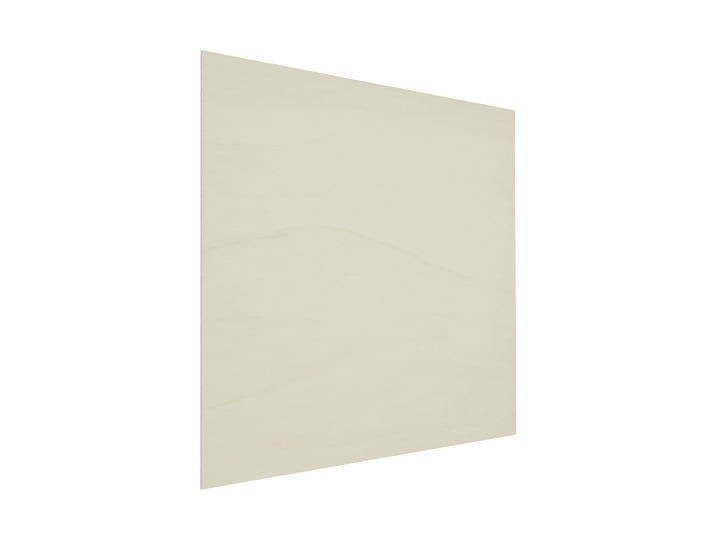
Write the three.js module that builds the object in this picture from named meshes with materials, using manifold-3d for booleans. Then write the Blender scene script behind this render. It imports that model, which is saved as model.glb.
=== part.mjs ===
// Plywood sheet: thin poplar veneers glued crosswise and sawn to one square sheet, lying flat.
//
// Millimetres. The origin is the middle of the back face. +X runs along the grain of the two outer
// veneers, +Y across it, and +Z points out of the face, so the sheet rests on z = 0.
//
// A plywood sheet is one piece. What tells it from a plain board is its edge: each veneer ends in a
// band of its own, the glue lines between the bands are fine grooves, and a veneer has drawn back a
// little on the two edges that run along its grain, because wood shrinks across the grain and hardly
// at all along it. So the outer veneers stand proud on the ends and the core stands proud on the sides.

import * as THREE from "three";
import { mergeVertices } from "three/addons/utils/BufferGeometryUtils.js";
import Module from "manifold-3d";

const wasm = await Module();
wasm.setup();

// ---- Driving dimensions -----------------------------------------------------------------------

const sheetLength = 600; // along the grain of the outer veneers, X
const sheetWidth = 600; // across the grain of the outer veneers, Y

const faceVeneer = 0.65; // thickness of the veneer that shows from above
const coreVeneer = 1.58; // thickness of the veneer inside
const backVeneer = 0.65; // thickness of the veneer that the sheet lies on
const glueLine = 0.06; // height of the cured glue between two veneers

const shrinkage = 0.08; // how far a veneer has drawn back on each edge that runs along its grain
const glueRecess = 0.06; // how far the glue ends behind the veneer that has drawn back
const arrisRadius = 0.2; // sanded edge between a face and the cut
const cornerWear = 0.4; // how much rounder a corner of the sheet has worn than an arris

const cornerSegments = 5; // facets in a quarter turn of a corner
const arrisSegments = 3; // facets in a quarter turn of an arris

// ---- Layup --------------------------------------------------------------------------------------

// From the back to the face. Each veneer's grain crosses that of the veneers beside it.
const layup = [
  { grain: "x", thickness: backVeneer },
  { grain: "y", thickness: coreVeneer },
  { grain: "x", thickness: faceVeneer },
];

const veneerTotal = layup.reduce((sum, veneer) => sum + veneer.thickness, 0);
const sheetThickness = veneerTotal + (layup.length - 1) * glueLine;

// ---- Outline and solids -------------------------------------------------------------------------

// A rectangle with worn corners, drawn back from the cut by insetX on the ends and insetY on the sides.
function outline(insetX, insetY) {
  const r = arrisRadius + cornerWear;
  const x = sheetLength / 2 - insetX - r;
  const y = sheetWidth / 2 - insetY - r;
  const quarter = Math.PI / 2;
  return new THREE.Shape()
    .absarc(x, y, r, 0, quarter)
    .absarc(-x, y, r, quarter, 2 * quarter)
    .absarc(-x, -y, r, 2 * quarter, 3 * quarter)
    .absarc(x, -y, r, 3 * quarter, 4 * quarter);
}

function toSolid(geometry) {
  geometry.deleteAttribute("normal");
  geometry.deleteAttribute("uv");
  const merged = mergeVertices(geometry, 1e-4);
  return new wasm.Manifold(
    new wasm.Mesh({
      numProp: 3,
      vertProperties: merged.attributes.position.array,
      triVerts: new Uint32Array(merged.index.array),
    }),
  );
}

// A flat layer of the sheet between two heights.
function layer(insetX, insetY, bottom, top) {
  const geometry = new THREE.ExtrudeGeometry(outline(insetX, insetY), {
    depth: top - bottom,
    bevelEnabled: false,
    curveSegments: cornerSegments,
  });
  return toSolid(geometry.translate(0, 0, bottom));
}

// A veneer is full size along its grain and has shrunk across it.
function veneerSolid(veneer, bottom) {
  const insetX = veneer.grain === "x" ? 0 : shrinkage;
  const insetY = veneer.grain === "y" ? 0 : shrinkage;
  return layer(insetX, insetY, bottom, bottom + veneer.thickness);
}

// Behind the grooves the wood and the glue are solid, here from mid-depth of the back veneer up to
// mid-depth of the face veneer.
function bondedMiddle() {
  const inset = shrinkage + glueRecess;
  return layer(inset, inset, backVeneer / 2, sheetThickness - faceVeneer / 2);
}

// The whole sheet's block with both arrises rounded by sanding.
function sandedBlock() {
  const geometry = new THREE.ExtrudeGeometry(outline(0, 0), {
    depth: sheetThickness - 2 * arrisRadius,
    bevelThickness: arrisRadius,
    bevelSize: arrisRadius,
    bevelOffset: -arrisRadius,
    bevelSegments: arrisSegments,
    curveSegments: cornerSegments,
  });
  return toSolid(geometry.translate(0, 0, arrisRadius));
}

function pressedSheet() {
  let sheet = bondedMiddle();
  let height = 0;
  for (const veneer of layup) {
    sheet = sheet.add(veneerSolid(veneer, height));
    height += veneer.thickness + glueLine;
  }
  return sheet;
}

function toGeometry(solid) {
  const { numProp, vertProperties, triVerts } = solid.getMesh();
  const geometry = new THREE.BufferGeometry();
  const vertices = new THREE.InterleavedBuffer(vertProperties, numProp);
  geometry.setAttribute("position", new THREE.InterleavedBufferAttribute(vertices, 3, 0));
  geometry.setIndex(new THREE.BufferAttribute(triVerts, 1));
  const flat = geometry.toNonIndexed();
  flat.computeVertexNormals();
  return flat;
}

// ---- The sheet ------------------------------------------------------------------------------------

const paleVeneer = new THREE.MeshStandardMaterial({
  color: 0xdcd7c5,
  roughness: 0.62,
  metalness: 0,
});

const sheet = new THREE.Mesh(toGeometry(pressedSheet().intersect(sandedBlock())), paleVeneer);
sheet.name = "plywood_sheet";

const part = new THREE.Group();
part.add(sheet);

export default part;
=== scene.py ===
"""The looks of a plywood sheet: three crossed veneers of pale poplar, lying face up on a white floor.

Lengths are in millimetres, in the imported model's own frame: +X along the grain of the two outer
veneers, +Y across it, +Z up out of the face. MM turns them into Blender's metres.
"""

import math

import bpy
import numpy as np
from mathutils import Matrix, Vector


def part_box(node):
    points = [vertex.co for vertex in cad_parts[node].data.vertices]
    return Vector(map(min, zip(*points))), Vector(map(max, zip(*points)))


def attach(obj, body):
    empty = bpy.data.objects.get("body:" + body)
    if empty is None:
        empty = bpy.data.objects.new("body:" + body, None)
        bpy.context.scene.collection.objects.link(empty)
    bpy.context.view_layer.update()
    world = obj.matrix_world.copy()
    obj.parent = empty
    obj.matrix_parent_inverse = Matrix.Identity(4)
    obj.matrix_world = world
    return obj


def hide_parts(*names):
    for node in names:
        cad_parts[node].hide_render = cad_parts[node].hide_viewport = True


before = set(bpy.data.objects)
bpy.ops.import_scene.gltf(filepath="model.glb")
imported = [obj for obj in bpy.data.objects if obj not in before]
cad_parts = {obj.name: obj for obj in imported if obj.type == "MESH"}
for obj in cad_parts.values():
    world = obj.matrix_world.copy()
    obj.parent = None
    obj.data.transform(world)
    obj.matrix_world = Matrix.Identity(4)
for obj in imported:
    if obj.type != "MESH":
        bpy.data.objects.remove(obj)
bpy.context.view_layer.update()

NODE = "plywood_sheet"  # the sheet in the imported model
LOOK = "sheet_of_veneers"  # the piece that replaces it
MM = 0.001

sheet_low, sheet_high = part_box(NODE)
LENGTH, WIDTH, THICKNESS = (sheet_high - sheet_low) / MM

# ---- The sheet's section --------------------------------------------------------------------------

FACE_VENEER = 0.65  # the veneer that shows from above
BACK_VENEER = 0.65  # the veneer that the sheet lies on
GLUE_LINE = 0.06
SHRINKAGE = 0.08  # how far a veneer has drawn back on the edges that run along its grain
GLUE_RECESS = 0.06  # how far the glue ends behind the veneer that has drawn back
ARRIS = 0.2  # radius of the sanded edge between a face and the cut
CORNER = 0.6  # radius of a worn corner, seen from above

SAW_WANDER = 0.02  # how far the saw has strayed to either side of its line
END_ROUGHNESS = 0.03  # of fibres that the saw has cut across
LONG_ROUGHNESS = 0.022  # of fibres that the saw has cut along
GLUE_ROUGHNESS = 0.012
SAW_INSET = SAW_WANDER + END_ROUGHNESS  # the saw's line is this far in, so that no bump leaves the box

# ---- The sheet's mesh -----------------------------------------------------------------------------

SEGMENTS = 800  # along each edge of the cut, between the corners
CORNER_SEGMENTS = 4
EDGE_COLUMNS = SEGMENTS + CORNER_SEGMENTS  # an edge and the corner after it
CORE_ROWS = 6  # from the top of the core's cut to its bottom
HALVINGS = 5  # rings of a face's mesh, each with half the segments of the one outside it
FIRST_RING = 2.0  # how far in from the cut the first of those rings lies
RING_GROWTH = 1.6  # each gap between two rings is this many times as wide as the one outside it
SHARP_EDGE = 30  # degrees between two faces of the mesh that don't shade into each other

CUT_SEED = 7
SAW_TURN = 160  # columns from one turn of the saw to the next
FIBRE_TURN = 9  # columns from one bump to the next where fibres are cut along
GLUE_TURN = 3  # columns from one lump of glue to the next

FACE, BACK, ENDS, SIDES, GLUE = range(5)  # material slots: the two faces, two kinds of cut, the glue

# The four edges, counter-clockwise from above: which way each faces.
EDGE_DIRECTIONS = ((1, 0), (0, 1), (-1, 0), (0, -1))

# The baked map's layout: the two faces side by side, each the full height, then a strip for each edge.
FACE_SPAN = (0.004, 0.470)
BACK_SPAN = (0.480, 0.946)
STRIPS_START = 0.954
STRIP_PITCH = 0.0115
STRIP_WIDTH = 0.0085
MAP_MARGIN = 0.004

# ---- Colours, linear ------------------------------------------------------------------------------

PALE_WOOD = (0.566, 0.5486, 0.4632)
LATE_WOOD = (0.375, 0.272, 0.120)
END_GRAIN = (0.461, 0.443, 0.380)
LONG_GRAIN = (0.535, 0.512, 0.431)
CURED_GLUE = (0.300, 0.255, 0.196)
FLOOR_PAINT = (0.97, 0.97, 0.97)

TONE_STEPS = 42.0  # how many steps of tone, each about a hundredth darker, lead from pale to late wood

THREAD_DARK = 2.4  # how dark the finest fibres are
PORE_DARK = 5.5

# A slow drift across the face, as factors on its light, its red and its blue: a share of x, the first
# value and the last. A factor goes from its first value to its last with y, that share of x, and some
# stray.
LIGHT_DRIFT = (0.2, 0.9903, 1.0048)
RED_DRIFT = (0.6, 1.0165, 0.9915)
BLUE_DRIFT = (1.2, 0.980, 1.010)
DRIFT_STRAY = 60.0  # millimetres

# ---- The figure of the veneers --------------------------------------------------------------------
# How dark or how pale something is, is told in steps of tone.

# Growth rings that the knife has cut through at a low angle, as (level, points along it). A guide's level
# is its number on a scale that climbs across the sheet, which the fibres between two guides follow.
FACE_GUIDES = {
    "base": (-262, ((-300, -258), (-185, -252), (-120, -266), (-60, -268), (-10, -264.5), (84, -264.5),
                    (130, -265.5), (163, -268), (214, -272), (300, -262))),
    "arch": (-140, ((-300, -192), (-210, -175), (-150, -163), (-100, -151), (-65, -130), (-35, -117),
                    (20, -111), (80, -102), (135, -118), (220, -142), (300, -160))),
    "second": (-72, ((-300, -70), (-150, -72), (-90, -79), (0, -70), (100, -70), (190, -88),
                     (300, -106))),
    "crown": (25, ((-300, 26), (-268, 40), (-238, 45.5), (-215, 51.5), (-180, 55.5), (-150, 60.5),
                   (-110, 64), (-70, 60), (-20, 47.5), (20, 37.5), (50, 27.5), (86, 13), (120, 5),
                   (165, -12), (200, -17), (300, -38))),
    "upper": (130, ((-300, 118), (-110, 136), (60, 136), (300, 112))),
    "band": (215, ((-300, 202), (-100, 212), (100, 219), (300, 228))),
}

RING_CORE = 3.0  # this far from its middle a line has lost half its dark, besides what its reach takes
RING_FADE = 26.0  # the length over which a line comes, and over which it goes
PALE_START, PALE_FULL, PALE_END = 0.5, 5.0, 60.0  # how far above a line its paler wood comes and goes

# The rings that show as lines: the guide and how far above it, from x to x, how dark, how far the dark
# reaches below the line and above it, and how much paler the wood is above.
FACE_RINGS = (
    ("crown", -6.0, -330, -150, 3.9, 5, 3, 0.0),
    ("crown", 2.5, -204, -92, 2.5, 14, 6, 0.8),
    ("crown", 2.5, -118, 30, 3.9, 9, 4, 0.8),
    ("crown", 3.5, 4, 208, 2.4, 12, 6, 0.6),
    ("crown", -12.0, -120, -58, 1.2, 4, 3, 0.0),
    ("second", 0, -330, -190, 2.9, 7, 4, 0.3),
    ("second", 0, -215, -95, 3.3, 18, 4, 0.9),
    ("arch", 0, -330, -180, 3.5, 7, 10, 0.0),
    ("arch", 2, -190, -50, 1.3, 7, 22, 0.0),
    ("arch", 0, -60, 24, 0.9, 12, 16, 0.0),
    ("arch", 0, 60, 142, 0.8, 14, 6, 0.0),
    ("base", 0, -134, -2, 2.8, 2.5, 13, 0.0),
    ("base", 0, -32, 104, 2.0, 3, 4, 0.0),
    ("base", -11.5, -8, 76, 2.0, 3, 3, 0.0),
    ("base", 0, 110, 238, 3.2, 3, 5, 0.0),
    ("base", 2, 250, 330, 2.0, 9, 5, 0.0),
    ("base", 90, 132, 232, 1.6, 6, 4, 0.0),
    ("base", 58, 168, 252, 1.3, 8, 4, 0.0),
)

# How dark the wood is between the lines, as (level on the guides' scale, tone).
BAND_LIMIT = 4.0  # the curve through the bands has room for tones from minus this to this
FACE_BANDS = (
    (-300, -0.3), (-270, 0.7), (-230, 0.2), (-190, 0.6), (-165, 0.2), (-135, 1.0), (-105, 0.6), (-75, 0.5),
    (-45, -0.1), (-20, -0.2), (15, 0.6), (50, -0.2), (130, -0.5), (180, -0.7), (212, -1.5), (235, -0.8),
    (252, 0.5), (300, 0.8),
)

# Marks and patches: x, y, half length, half height, how dark, and how steeply the mark climbs.
FACE_MARKS = (
    (-85, 175, 30, 3.5, 2.0),
    (-82, 130, 20, 3.5, 1.2),
    (-3, 137, 12, 3.0, 1.4),
    (230, 83, 18, 3.0, 1.2),
    (172, 28, 20, 3.5, 1.2),
    (85, -3, 18, 3.5, 1.5),
    (43, -18, 12, 4.0, 1.2),
    (222, -50, 14, 3.0, 1.2),
    (-112, -4, 28, 3.5, 1.1),
    (-180, -254, 62, 14, 1.5),
    (-185, -252, 13, 4.5, 3.4),
    (-290, 27, 18, 4.0, 2.0, 0.3),
    (-178, 53, 17, 3.5, 2.0, -0.45),
    (-187, 57, 13, 4.0, 1.4),
    (-54, 58, 24, 3.5, 1.2, -0.3),
    (10, 44, 14, 5, 1.6),
    (-72, -118, 42, 20, 1.5),
    (-172, 80, 24, 8, -1.5),
    (-50, 74, 26, 7, -1.5),
    (46, 42, 14, 7, -1.3),
    (-117, 15, 8, 50, 1.2),
    (201, -2, 12, 8, -1.2),
    (-262, -30, 8, 26, -0.9),
    (82, -134, 18, 12, -1.2),
    (-62, -279, 78, 10, -2.0),
    (150, -278, 40, 8, -2.4),
    (-275, 145, 80, 70, 1.0),
    (-265, -85, 110, 24, 1.2),
    (-262, -172, 110, 44, -1.3),
    (185, -124, 80, 34, -1.1),
    (208, 40, 90, 300, -0.9),
)

# Flecks of colour: x, y, half length, half height, how much redder and how much yellower.
FACE_FLECKS = (
    (-183, -252, 18, 7, 0.065, -0.045),
    (-257, -187, 18, 8, 0.0, 0.055),
)

MARGIN = 6.0  # width of the darker margin round a face
LEFT_MARGIN = 3.0  # its width at the end at -X
MARGIN_DARK = 4.0  # how dark it is at the cut

# A calmer figure for the back.
BACK_GUIDES = {
    "low": (-180, ((-300, -205), (-160, -186), (20, -170), (160, -176), (300, -198))),
    "middle": (-20, ((-300, -52), (-180, -30), (-40, -6), (80, -2), (200, -18), (300, -44))),
    "high": (150, ((-300, 138), (-120, 150), (60, 156), (300, 146))),
}
BACK_RINGS = (
    ("low", 0, -330, 60, 2.4, 9, 3, 0.5),
    ("low", -46, -120, 330, 1.8, 8, 4, 0.0),
    ("middle", 0, -240, 330, 3.0, 10, 3, 0.9),
    ("middle", 58, -330, -40, 1.7, 9, 5, 0.0),
    ("high", 0, -60, 330, 2.0, 9, 3, 0.4),
    ("high", 74, -330, 120, 1.7, 8, 5, 0.0),
)
BACK_BANDS = (
    (-300, 0.6), (-225, -0.4), (-150, 0.8), (-60, -0.3), (20, 0.5), (110, -0.8), (190, 0.3), (300, -0.2),
)
BACK_MARKS = (
    (120, -100, 26, 3.5, 1.6),
    (-210, 92, 24, 3.0, 1.5),
    (40, 232, 30, 3.5, 1.3),
    (230, 60, 9, 4.0, 2.4),
)

# ---- The camera, the light and the floor ----------------------------------------------------------

# The sheet is seen from over its end at -X, with +Y up in the picture, so that end stands at the left.
CAMERA_PLACE = (-610.6, -18.0, 883.7)
CAMERA_AIM = (-46.5, -6.2, 3.0)
CAMERA_ROLL = -0.1  # degrees
CAMERA_LENS = 33.53
CAMERA_SENSOR = 36.0
PICTURE_WIDTH = 716  # pixels
AXIS_BELOW_MIDDLE = 4.5  # pixels from the picture's middle down to the lens's axis

SOFTBOX_HEIGHT = 850.0
SOFTBOX_SIDE = 500.0
SOFTBOX_POWER = 2.29  # watts
SKY = 1.03  # how bright the white all round is

FLOOR_HALF = 40000.0  # half the floor's side
FLOOR_GAP = 0.1  # the floor lies this far under the sheet, so that the two don't share a plane
FLOOR_LAP = 1.0  # how far the floor reaches in under the sheet from each edge


class Nodes:
    """A node tree, with a short call for each kind of node that the materials use."""

    # A Mix node has a set of sockets for each type, under the same names, so they go by number.
    NUMBERS = (2, 3)
    COLOURS = (6, 7)
    COLOUR_OUT = 2

    def __init__(self, tree):
        self.tree = tree
        self.tree.nodes.clear()

    def add(self, kind, inputs=(), **settings):
        """A new node. inputs has a value or another node's output for some of its sockets."""
        node = self.tree.nodes.new(kind)
        for name, value in settings.items():
            setattr(node, name, value)
        for key, value in dict(inputs).items():
            self.join(value, node.inputs[key])
        return node

    def join(self, value, socket):
        if isinstance(value, bpy.types.NodeSocket):
            self.tree.links.new(value, socket)
        else:
            socket.default_value = value

    def math(self, operation, *values, clamp=False):
        node = self.add("ShaderNodeMath", enumerate(values), operation=operation, use_clamp=clamp)
        return node.outputs[0]

    def total(self, values):
        result = values[0]
        for value in values[1:]:
            result = self.math("ADD", result, value)
        return result

    def ramp(self, value, start, end, low=0.0, high=1.0, smooth=True):
        """low at start and before it, high at end and after it."""
        keys = {"Value": value, "From Min": start, "From Max": end, "To Min": low, "To Max": high}
        kind = "SMOOTHSTEP" if smooth else "LINEAR"
        return self.add("ShaderNodeMapRange", keys, interpolation_type=kind).outputs[0]

    def place(self):
        """The point in millimetres, in the sheet's frame."""
        metres = self.add("ShaderNodeTexCoord").outputs["Object"]
        scaled = self.add("ShaderNodeVectorMath", {0: metres, "Scale": 1 / MM}, operation="SCALE")
        return scaled.outputs[0]

    def split(self, vector):
        return self.add("ShaderNodeSeparateXYZ", {"Vector": vector}).outputs

    def noise(self, x, y, size, seed, depth=1.0, detail=2.0, roughness=0.5):
        """Noise from about -depth to depth, whose blots have that size along x and along y."""
        keys = {"X": self.math("DIVIDE", x, size[0]), "Y": self.math("DIVIDE", y, size[1]), "Z": seed}
        at = self.add("ShaderNodeCombineXYZ", keys).outputs[0]
        keys = {"Vector": at, "Scale": 1.0, "Detail": detail, "Roughness": roughness}
        value = self.add("ShaderNodeTexNoise", keys).outputs[0]  # from about 0.25 to 0.75
        return self.math("MULTIPLY_ADD", value, 4 * depth, -2 * depth)

    def curve(self, value, points, half_across, half_up):
        """A smooth curve through points, each of which lies that far from the middle at most."""
        from_left = self.math("MULTIPLY_ADD", value, 0.5 / half_across, 0.5)
        node = self.add("ShaderNodeFloatCurve", {"Value": from_left})
        line = node.mapping.curves[0]
        while len(line.points) < len(points):
            line.points.new(0.5, 0.5)
        for point, (across, up) in zip(line.points, points):
            point.location = (0.5 + 0.5 * across / half_across, 0.5 + 0.5 * up / half_up)
            point.handle_type = "AUTO"
        node.mapping.update()
        return self.math("MULTIPLY_ADD", node.outputs[0], 2 * half_up, -half_up)

    def mix(self, share, first, second, blend="MIX"):
        """Two colours, as sockets or as four numbers each: the second over the first, by that share."""
        keys = {"Factor": share, self.COLOURS[0]: first, self.COLOURS[1]: second}
        node = self.add("ShaderNodeMix", keys, data_type="RGBA", blend_type=blend)
        return node.outputs[self.COLOUR_OUT]

    def choose(self, second_holds, first, second):
        """The first number where second_holds is 0, and the second where it is 1."""
        keys = {"Factor": second_holds, self.NUMBERS[0]: first, self.NUMBERS[1]: second}
        return self.add("ShaderNodeMix", keys).outputs[0]


# ---- Materials ------------------------------------------------------------------------------------


def new_material(name):
    material = bpy.data.materials.new(name)
    material.use_nodes = True
    return material, Nodes(material.node_tree)


def wood_colour(n, pale, tone, steps, late_share):
    """Pale wood with late wood mixed in: late_share of it at tone 0, and 1 / steps more for each step."""
    share = n.math("MULTIPLY_ADD", tone, 1 / steps, late_share, clamp=True)
    return n.mix(share, (*pale, 1.0), (*LATE_WOOD, 1.0))


def ring_scale(n, y, heights, levels):
    """The scale that climbs across the sheet, and has each guide's level where that guide runs."""
    steps = [n.math("MINIMUM", n.math("SUBTRACT", y, heights[0]), 0.0)]
    for i in range(len(heights) - 1):
        steps.append(n.ramp(y, heights[i], heights[i + 1], 0.0, levels[i + 1] - levels[i], smooth=False))
    steps.append(n.math("MAXIMUM", n.math("SUBTRACT", y, heights[-1]), 0.0))
    return n.math("ADD", n.total(steps), levels[0])


def window(n, x, start, end):
    """1 from start to end, fading out at both."""
    come = n.ramp(x, start, start + RING_FADE)
    go = n.ramp(x, end - RING_FADE, end, 1.0, 0.0)
    return n.math("MULTIPLY", come, go)


def ring_line(n, x, height, start, end, dark, reach_below, reach_above, paler_above):
    """A growth ring's late wood, dark at the line. height is measured up from the line."""
    below = n.ramp(height, -reach_below, 0.0)
    above = n.ramp(height, 0.0, reach_above, 1.0, 0.0)
    core = n.ramp(n.math("ABSOLUTE", height), 0.0, RING_CORE, 1.0, 0.5)
    line = n.math("MULTIPLY", n.math("MULTIPLY", n.math("MULTIPLY", below, above), core), dark)
    pale_comes = n.ramp(height, PALE_START, PALE_FULL)
    pale_goes = n.ramp(height, PALE_FULL, PALE_END, paler_above, 0.0)
    pale = n.math("MULTIPLY", pale_comes, pale_goes)
    return n.math("MULTIPLY", n.math("SUBTRACT", line, pale), window(n, x, start, end))


def ring_lines(n, x, y, height_of, rings):
    """All the rings that show as lines, each at its place above its guide."""
    lines = []
    for guide, offset, *shape in rings:
        middle = n.math("ADD", height_of[guide], offset)
        lines.append(ring_line(n, x, n.math("SUBTRACT", y, middle), *shape))
    return n.total(lines)


def mark(n, x, y, centre_x, centre_y, half_length, half_height, dark, slope=0.0):
    """A soft mark in the wood, at its full strength in its inner fifth and gone at its rim."""
    from_centre = n.math("SUBTRACT", x, centre_x)
    from_axis = n.math("SUBTRACT", n.math("SUBTRACT", y, centre_y), n.math("MULTIPLY", from_centre, slope))
    across = n.math("DIVIDE", from_centre, half_length)
    up = n.math("DIVIDE", from_axis, half_height)
    away = n.math("SQRT", n.math("ADD", n.math("MULTIPLY", across, across), n.math("MULTIPLY", up, up)))
    return n.ramp(away, 0.2, 1.0, dark, 0.0)


def darker_margin(n, x, y):
    """A face is a little darker close to the cut."""
    at_left = n.ramp(x, -LENGTH / 2, LEFT_MARGIN - LENGTH / 2, 1.0, 0.0)
    at_right = n.ramp(x, LENGTH / 2 - MARGIN, LENGTH / 2)
    at_sides = n.ramp(n.math("ABSOLUTE", y), WIDTH / 2 - MARGIN, WIDTH / 2)
    strongest = n.math("MAXIMUM", n.math("MAXIMUM", at_left, at_right), at_sides)
    return n.math("MULTIPLY", strongest, MARGIN_DARK)


def drawn_tone(n, x, y, guides, rings, bands, marks, seed):
    """The tone of all that is drawn on a face, and the scale that its fibres follow."""
    # The guides are smooth, and real rings waver.
    waver = n.noise(x, y, size=(46.0, 30.0), seed=seed, depth=2.0)
    ripple = n.noise(x, y, size=(9.0, 7.0), seed=seed + 1, depth=0.5)
    y_wavering = n.total([y, waver, ripple])
    height_of = {guide: n.curve(x, points, LENGTH / 2, WIDTH / 2) for guide, (_, points) in guides.items()}
    levels = [level for level, _ in guides.values()]
    scale = ring_scale(n, y_wavering, list(height_of.values()), levels)

    # The lines and the margin are a little stronger in some places than in others.
    unevenness = n.noise(x, y, size=(34.0, 60.0), seed=seed + 2, depth=0.22)
    strength = n.math("ADD", unevenness, 1.0)
    lines = n.math("ADD", ring_lines(n, x, y_wavering, height_of, rings), darker_margin(n, x, y))
    spots = [mark(n, x, y_wavering, *each) for each in marks]
    zones = n.curve(scale, bands, WIDTH / 2, BAND_LIMIT)
    return n.total([n.math("MULTIPLY", lines, strength), *spots, zones]), scale


def even_drift(n, x, y_straying, share_of_x, first, last):
    """From first to last in a straight line, with y and that share of x, over the whole sheet."""
    slope = n.math("MULTIPLY_ADD", x, share_of_x, y_straying)
    reach = share_of_x * LENGTH / 2 + WIDTH / 2 + DRIFT_STRAY
    return n.ramp(slope, -reach, reach, first, last, smooth=False)


def drift_of_tint(n, x, y, flecks, seed):
    """The face is a touch lighter, less red and less yellow towards the corner at +X and +Y."""
    stray = n.noise(x, y, size=(170.0, 90.0), seed=seed, depth=DRIFT_STRAY)
    y_straying = n.math("ADD", y, stray)

    share_of_x, first, last = LIGHT_DRIFT
    slope = n.math("MULTIPLY_ADD", x, share_of_x, y_straying)
    light = n.ramp(slope, -WIDTH / 2, WIDTH / 2, first, last)
    reds = [even_drift(n, x, y_straying, *RED_DRIFT)]
    blues = [even_drift(n, x, y_straying, *BLUE_DRIFT)]
    for centre_x, centre_y, half_length, half_height, redder, yellower in flecks:
        shape = (centre_x, centre_y, half_length, half_height)
        reds.append(mark(n, x, y, *shape, redder))
        blues.append(mark(n, x, y, *shape, -yellower))
    red = n.math("MULTIPLY", light, n.total(reds))
    blue = n.math("MULTIPLY", light, n.total(blues))
    return n.add("ShaderNodeCombineColor", {"Red": red, "Green": light, "Blue": blue}).outputs[0]


def veneer(name, guides, rings, bands, marks, flecks, seed):
    """A sanded face: growth rings, fibres that follow them, pores, and a slow drift of tint."""
    material, n = new_material(name)
    x, y, _ = n.split(n.place())
    drawn, scale = drawn_tone(n, x, y, guides, rings, bands, marks, seed)

    # What isn't drawn: broad seasons, fibres of two sizes, a mottle, and pores.
    seasons = n.noise(x, scale, size=(420.0, 15.0), seed=seed + 3, depth=1.15, detail=3.0, roughness=0.6)
    fibres = n.noise(x, scale, size=(75.0, 3.2), seed=seed + 4, depth=1.35, detail=3.0, roughness=0.6)
    threads = n.noise(x, scale, size=(16.0, 0.42), seed=seed + 5, roughness=0.6)
    mottle = n.noise(x, y, size=(48.0, 22.0), seed=seed + 6, depth=1.05)
    pores = n.ramp(n.noise(x, scale, size=(2.6, 0.16), seed=seed + 7, detail=1.0), 0.55, 1.1)
    fine = [n.math("MULTIPLY", threads, THREAD_DARK), n.math("MULTIPLY", pores, PORE_DARK)]

    tone = n.total([drawn, seasons, fibres, mottle, *fine])
    wood = wood_colour(n, PALE_WOOD, tone, TONE_STEPS, late_share=0.1)
    tint = drift_of_tint(n, x, y, flecks, seed + 8)
    relief = n.math("SUBTRACT", n.math("MULTIPLY", threads, -0.35), pores)
    roughness = n.math("MULTIPLY_ADD", threads, 0.035, 0.6)
    finish(n, n.mix(1.0, wood, tint, blend="MULTIPLY"), relief, depth=0.03, roughness=roughness)
    return material


def finish(n, colour, relief, depth, roughness):
    """A dull surface, with relief of that depth in millimetres."""
    bump = n.add("ShaderNodeBump", {"Strength": 1.0, "Distance": depth * MM, "Height": relief})
    keys = {"Base Color": colour, "Roughness": roughness, "Specular IOR Level": 0.3}
    shader = n.add("ShaderNodeBsdfPrincipled", {**keys, "Normal": bump.outputs[0]})
    n.add("ShaderNodeOutputMaterial", {"Surface": shader.outputs[0]})


def along_cut(n):
    """How far along the cut, which is by y on the ends and by x on the sides, and how high."""
    x, y, z = n.split(n.place())
    past_end = n.math("SUBTRACT", n.math("ABSOLUTE", x), LENGTH / 2)
    past_side = n.math("SUBTRACT", n.math("ABSOLUTE", y), WIDTH / 2)
    on_end = n.math("GREATER_THAN", past_end, past_side)
    return n.choose(on_end, x, y), z


def end_grain():
    """Sawn across the fibres: darker, with rings along the veneer, fine pores, and the knife's checks."""
    material, n = new_material("sawn_end_grain")
    along, z = along_cut(n)
    rings = n.noise(along, z, size=(45.0, 0.3), seed=21.0, depth=9.0, roughness=0.6)
    blots = n.noise(along, z, size=(38.0, 9.0), seed=22.0, depth=6.0)
    pores = n.noise(along, z, size=(0.09, 0.08), seed=23.0, detail=1.0)
    leaning = n.math("MULTIPLY_ADD", z, 0.8, along)  # the checks lean over
    checks = n.ramp(n.noise(leaning, z, size=(0.7, 1.5), seed=24.0, detail=0.0), 0.95, 1.25)
    tone = n.total([rings, blots, n.math("MULTIPLY", pores, 9.0), n.math("MULTIPLY", checks, 30.0)])
    colour = wood_colour(n, END_GRAIN, tone, steps=100.0, late_share=0.3)
    relief = n.math("SUBTRACT", n.math("MULTIPLY", pores, -0.25), checks)
    finish(n, colour, relief, depth=0.06, roughness=0.8)
    return material


def long_grain():
    """Sawn along the fibres: paler, with streaks that run along the cut."""
    material, n = new_material("sawn_long_grain")
    along, z = along_cut(n)
    streaks = n.noise(along, z, size=(24.0, 0.16), seed=31.0, detail=3.0, roughness=0.6)
    blots = n.noise(along, z, size=(60.0, 3.0), seed=32.0, depth=6.0)
    pores = n.ramp(n.noise(along, z, size=(1.6, 0.07), seed=33.0, detail=1.0), 0.5, 1.0)
    tone = n.total([n.math("MULTIPLY", streaks, 9.0), blots, n.math("MULTIPLY", pores, 9.0)])
    colour = wood_colour(n, LONG_GRAIN, tone, steps=100.0, late_share=0.18)
    relief = n.math("SUBTRACT", n.math("MULTIPLY", streaks, 0.4), pores)
    finish(n, colour, relief, depth=0.05, roughness=0.72)
    return material


def glue_line():
    """Cured glue at the bottom of the grooves, lumpy and a little glossy."""
    material, n = new_material("cured_glue")
    along, z = along_cut(n)
    lumps = n.noise(along, z, size=(1.4, 0.2), seed=41.0)
    colour = wood_colour(n, CURED_GLUE, lumps, steps=5.0, late_share=0.4)
    finish(n, colour, lumps, depth=0.04, roughness=0.45)
    return material


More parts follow.
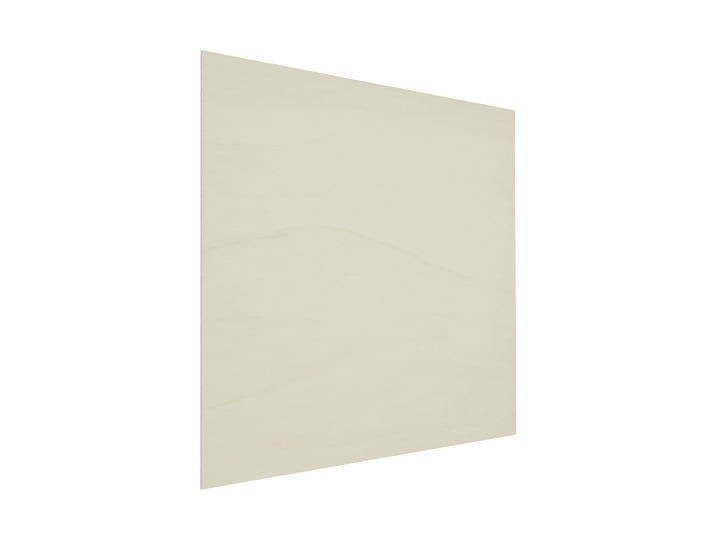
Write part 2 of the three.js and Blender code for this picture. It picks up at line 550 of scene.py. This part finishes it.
def floor_paint():
    """Matt white. It shows from above only, so that a view from below sees the sheet's back."""
    material, n = new_material("white_floor")
    shader = n.add("ShaderNodeBsdfDiffuse", {"Color": (*FLOOR_PAINT, 1.0)})
    clear = n.add("ShaderNodeBsdfTransparent")
    under = n.add("ShaderNodeNewGeometry").outputs["Backfacing"]
    both = n.add("ShaderNodeMixShader", {0: under, 1: shader.outputs[0], 2: clear.outputs[0]})
    n.add("ShaderNodeOutputMaterial", {"Surface": both.outputs[0]})
    return material


# ---- Building the sheet ---------------------------------------------------------------------------


def wander(rng, count, spacing):
    """A smooth random line round the whole edge, from -1 to 1, with a turn about every spacing columns."""
    knots = round(count / spacing)
    values = rng.uniform(-1, 1, knots)
    where = np.arange(count) * knots / count
    left = where.astype(int)
    t = where - left
    t = t * t * (3 - 2 * t)
    return values[left % knots] * (1 - t) + values[(left + 1) % knots] * t


def sheet_edges():
    """For each edge: the way it faces, the way along it, and the sheet's half size in each of the two."""
    for nx, ny in EDGE_DIRECTIONS:
        out = np.array((nx, ny), float)
        along = np.array((-ny, nx), float)
        half_out = abs(nx) * LENGTH / 2 + abs(ny) * WIDTH / 2
        half_along = abs(nx) * WIDTH / 2 + abs(ny) * LENGTH / 2
        yield out, along, half_out, half_along


def outline_columns():
    """Each column round the sheet: its place on the cut, seen from above, and which way it faces."""
    places, facing = [], []
    for out, along, half_out, half_along in sheet_edges():
        half_straight = half_along - CORNER
        for step in np.linspace(-half_straight, half_straight, SEGMENTS + 1):
            places.append(out * half_out + along * step)
            facing.append(out)
        centre = out * (half_out - CORNER) + along * half_straight
        for step in range(1, CORNER_SEGMENTS):
            angle = math.pi / 2 * step / CORNER_SEGMENTS
            normal = out * math.cos(angle) + along * math.sin(angle)
            places.append(centre + normal * CORNER)
            facing.append(normal)
    return np.array(places), np.array(facing)


def outer_rows(thickness, surface):
    """An outer veneer and its glue at the cut, from the surface in, as (depth, inset, what is there)."""
    halfway = ARRIS * (1 - math.sqrt(0.5))  # the depth and the inset of the middle of the rounded arris
    return [
        (0.0, 2 * ARRIS, surface),
        (0.0, ARRIS, surface),
        (halfway, halfway, surface),
        (ARRIS, 0.0, "outer"),
        ((ARRIS + thickness) / 2, 0.0, "outer"),
        (thickness, 0.0, "outer"),
        (thickness, GLUE_RECESS, "glue"),
        (thickness + GLUE_LINE, GLUE_RECESS, "glue"),
    ]


def section_rows():
    """The cut from the face down to the back, as (height, inset, what is there) for each row."""
    upper = [(THICKNESS - depth, inset, what) for depth, inset, what in outer_rows(FACE_VENEER, "face")]
    lower = outer_rows(BACK_VENEER, "back")[::-1]
    core_heights = np.linspace(upper[-1][0], lower[0][0], CORE_ROWS)
    return upper + [(height, 0.0, "core") for height in core_heights] + lower


def cut_points(rows, places, facing, rng):
    """The points of the cut, row by row: each veneer drawn back and roughened in its own way."""
    count = len(places)
    share_end = facing[:, 0] ** 2  # 1 on the ends, 0 on the sides, and in between round a corner
    cut_inset = SAW_INSET + SAW_WANDER * wander(rng, count, SAW_TURN)
    points = []
    for height, inset, what in rows:
        end_grain_here = share_end if what != "core" else 1 - share_end
        drawn_back = SHRINKAGE * (1 - end_grain_here)
        rough = END_ROUGHNESS * end_grain_here * rng.uniform(-1, 1, count)
        rough += LONG_ROUGHNESS * (1 - end_grain_here) * wander(rng, count, FIBRE_TURN)
        if what == "glue":
            drawn_back = SHRINKAGE
            rough = GLUE_ROUGHNESS * wander(rng, count, GLUE_TURN)
        set_back = inset + drawn_back + cut_inset + rough
        points.append(np.column_stack((places - facing * set_back[:, None], np.full(count, height))))
    return points


def build_sheet():
    """The whole sheet as one closed mesh: the cut as a band of quads, and a flat face above and below."""
    rng = np.random.default_rng(CUT_SEED)
    places, facing = outline_columns()
    rows = section_rows()
    points = cut_points(rows, places, facing, rng)
    count = len(places)
    vertices = list(np.concatenate(points))
    faces, slots, uvs = [], [], []

    following = np.roll(np.arange(count), -1)
    between = np.abs(facing + facing[following])
    on_end = between[:, 0] > between[:, 1]
    for row in range(len(rows) - 1):
        beside = {rows[row][2], rows[row + 1][2]}
        for column in range(count):
            a = row * count + column
            b = row * count + following[column]
            faces.append((a + count, b + count, b, a))
            slots.append(cut_slot(beside, on_end[column]))
            uvs.append(cut_uv(row, len(rows), column))
    for is_top in (True, False):
        outer = 0 if is_top else (len(rows) - 1) * count
        add_face(vertices, faces, slots, uvs, outer, is_top)
    return make_mesh(LOOK, vertices, faces, slots, uvs)


def cut_slot(beside, on_end):
    """The material between two rows of the cut, by what is at either."""
    if "glue" in beside:
        return GLUE
    if "face" in beside:
        return FACE
    if "back" in beside:
        return BACK
    grain_ends_here = on_end if "outer" in beside else not on_end
    return ENDS if grain_ends_here else SIDES


def cut_uv(row, row_count, column):
    """The map's corners of the quad below a row and after a column, on the strip of the column's edge."""
    edge, step = divmod(column, EDGE_COLUMNS)
    left = STRIPS_START + STRIP_PITCH * edge
    span = 1 - 2 * MAP_MARGIN
    upper, lower = [left + STRIP_WIDTH * r / (row_count - 1) for r in (row, row + 1)]
    first, last = [MAP_MARGIN + span * s / EDGE_COLUMNS for s in (step, step + 1)]
    return [(lower, first), (lower, last), (upper, last), (upper, first)]


def add_face(vertices, faces, slots, uvs, outer, is_top):
    """A flat face, as rings of fewer and fewer points round a grid.

    outer is the first point of the cut's row that the face starts from.
    """
    height = THICKNESS if is_top else 0.0
    slot, span = (FACE, FACE_SPAN) if is_top else (BACK, BACK_SPAN)

    def put(*corners):
        """Add a polygon, whose corners are given counter-clockwise from above."""
        corners = corners if is_top else corners[::-1]
        faces.append(corners)
        slots.append(slot)
        uvs.append([face_uv(vertices[c], span) for c in corners])

    segments = SEGMENTS
    ring = ring_edges(outer, segments, EDGE_COLUMNS)
    inset, gap = FIRST_RING, FIRST_RING
    for halving in range(HALVINGS):
        segments //= 2
        inner = square_ring(vertices, inset, segments, height)
        for edge in range(4):
            for step in range(segments):
                a, b, c = ring[edge][2 * step:2 * step + 3]
                d, e = inner[edge][step:step + 2]
                put(a, b, d)
                put(b, e, d)
                put(b, c, e)
            if halving == 0:
                fan_corner(outer, edge, inner[edge][-1], put)
        ring = inner
        gap *= RING_GROWTH
        inset += gap
    add_grid(vertices, ring, segments, height, put)


def ring_edges(first, segments, columns):
    """A closed ring's points, as a list for each edge, where each edge starts that many columns on."""
    return [[first + (edge * columns + step) % (4 * columns) for step in range(segments + 1)]
            for edge in range(4)]


def square_ring(vertices, inset, segments, height):
    """A square ring of new points, as a list for each edge. Neighbouring edges share their corner."""
    first = len(vertices)
    for out, along, half_out, half_along in sheet_edges():
        for step in range(segments):
            flat = out * (half_out - inset) + along * (half_along - inset) * (2 * step / segments - 1)
            vertices.append(np.array((*flat, height)))
    return ring_edges(first, segments, segments)


def fan_corner(outer, edge, middle, put):
    """The face's worn corner after an edge, as triangles that meet in one point of the first ring."""
    start = edge * EDGE_COLUMNS + SEGMENTS
    for column in range(start, start + CORNER_SEGMENTS):
        put(outer + column, outer + (column + 1) % (4 * EDGE_COLUMNS), middle)


def add_grid(vertices, ring, segments, height, put):
    """The middle of a face, as a grid between the four edges of the last ring."""
    right, top, left, bottom = ring
    grid = np.zeros((segments + 1, segments + 1), int)
    grid[-1, :] = right
    grid[:, -1] = top[::-1]
    grid[0, :] = left[::-1]
    grid[:, 0] = bottom
    xs = [vertices[i][0] for i in grid[:, 0]]
    ys = [vertices[i][1] for i in grid[0, :]]
    for i in range(1, segments):
        for j in range(1, segments):
            grid[i, j] = len(vertices)
            vertices.append(np.array((xs[i], ys[j], height)))
    for i in range(segments):
        for j in range(segments):
            put(grid[i, j], grid[i + 1, j], grid[i + 1, j + 1], grid[i, j + 1])


def face_uv(point, span):
    """The map's point of a point on a face, which fills that span of the map's width."""
    u = span[0] + (span[1] - span[0]) * (point[0] / LENGTH + 0.5)
    v = MAP_MARGIN + (1 - 2 * MAP_MARGIN) * (point[1] / WIDTH + 0.5)
    return u, v


def make_mesh(name, vertices, faces, slots, uvs):
    """A Blender object in metres, with its material slots and the map that its finish is baked to."""
    mesh = bpy.data.meshes.new(name)
    mesh.from_pydata([tuple(v * MM) for v in vertices], [], [tuple(int(i) for i in f) for f in faces])
    mesh.polygons.foreach_set("material_index", slots)
    layer = mesh.uv_layers.new(name="OFBake")
    layer.uv.foreach_set("vector", [value for face in uvs for corner in face for value in corner])
    mesh.shade_smooth()
    mesh.set_sharp_from_angle(angle=math.radians(SHARP_EDGE))
    mesh.validate()
    sheet = bpy.data.objects.new(name, mesh)
    bpy.context.scene.collection.objects.link(sheet)
    return sheet


# ---- Floor, light and camera ----------------------------------------------------------------------


def build_floor():
    """A wide floor, open under the sheet, so that light reaches the sheet's back in a view from below."""
    mesh = bpy.data.meshes.new("floor")
    corners = []
    for half_x, half_y in ((FLOOR_HALF, FLOOR_HALF), (LENGTH / 2 - FLOOR_LAP, WIDTH / 2 - FLOOR_LAP)):
        for sx, sy in ((-1, -1), (1, -1), (1, 1), (-1, 1)):
            corners.append((sx * half_x * MM, sy * half_y * MM, -FLOOR_GAP * MM))
    mesh.from_pydata(corners, [], [(i, (i + 1) % 4, 4 + (i + 1) % 4, 4 + i) for i in range(4)])
    mesh.materials.append(floor_paint())
    floor = bpy.data.objects.new("floor", mesh)
    bpy.context.scene.collection.objects.link(floor)


def build_light():
    """A white room all round, and a softbox over the middle of the sheet."""
    world = bpy.data.worlds.new("white_room")
    bpy.context.scene.world = world
    world.use_nodes = True
    n = Nodes(world.node_tree)
    sky = n.add("ShaderNodeBackground", {"Color": (1.0, 1.0, 1.0, 1.0), "Strength": SKY})
    n.add("ShaderNodeOutputWorld", {"Surface": sky.outputs[0]})

    lamp = bpy.data.lights.new("softbox", "AREA")
    lamp.shape = "SQUARE"
    lamp.size = SOFTBOX_SIDE * MM
    lamp.energy = SOFTBOX_POWER
    softbox = bpy.data.objects.new("softbox", lamp)
    softbox.location = (0.0, 0.0, SOFTBOX_HEIGHT * MM)
    softbox.visible_camera = False
    bpy.context.scene.collection.objects.link(softbox)


def build_camera():
    """A camera that looks from one point at another, with +Y up in the picture but for a slight roll."""
    place, aim = Vector(CAMERA_PLACE) * MM, Vector(CAMERA_AIM) * MM
    back = (place - aim).normalized()
    right = Vector((0, 1, 0)).cross(back).normalized()
    up = back.cross(right)
    level = Matrix((right, up, back)).transposed().to_4x4()
    roll = Matrix.Rotation(math.radians(CAMERA_ROLL), 4, "Z")
    data = bpy.data.cameras.new("camera")
    data.lens = CAMERA_LENS
    data.sensor_width = CAMERA_SENSOR
    data.shift_y = AXIS_BELOW_MIDDLE / PICTURE_WIDTH
    camera = bpy.data.objects.new("camera", data)
    camera.matrix_world = Matrix.Translation(place) @ level @ roll
    bpy.context.scene.collection.objects.link(camera)
    bpy.context.scene.camera = camera


# ---- The scene ------------------------------------------------------------------------------------

bpy.context.scene.view_settings.view_transform = "Standard"
build_camera()
build_light()
build_floor()

sheet = build_sheet()
face_figure = (FACE_GUIDES, FACE_RINGS, FACE_BANDS, FACE_MARKS, FACE_FLECKS)
back_figure = (BACK_GUIDES, BACK_RINGS, BACK_BANDS, BACK_MARKS, ())
finishes = {
    FACE: veneer("face_veneer", *face_figure, seed=1.0),
    BACK: veneer("back_veneer", *back_figure, seed=101.0),
    ENDS: end_grain(),
    SIDES: long_grain(),
    GLUE: glue_line(),
}
for slot in sorted(finishes):
    sheet.data.materials.append(finishes[slot])
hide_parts(NODE)
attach(sheet, "root")
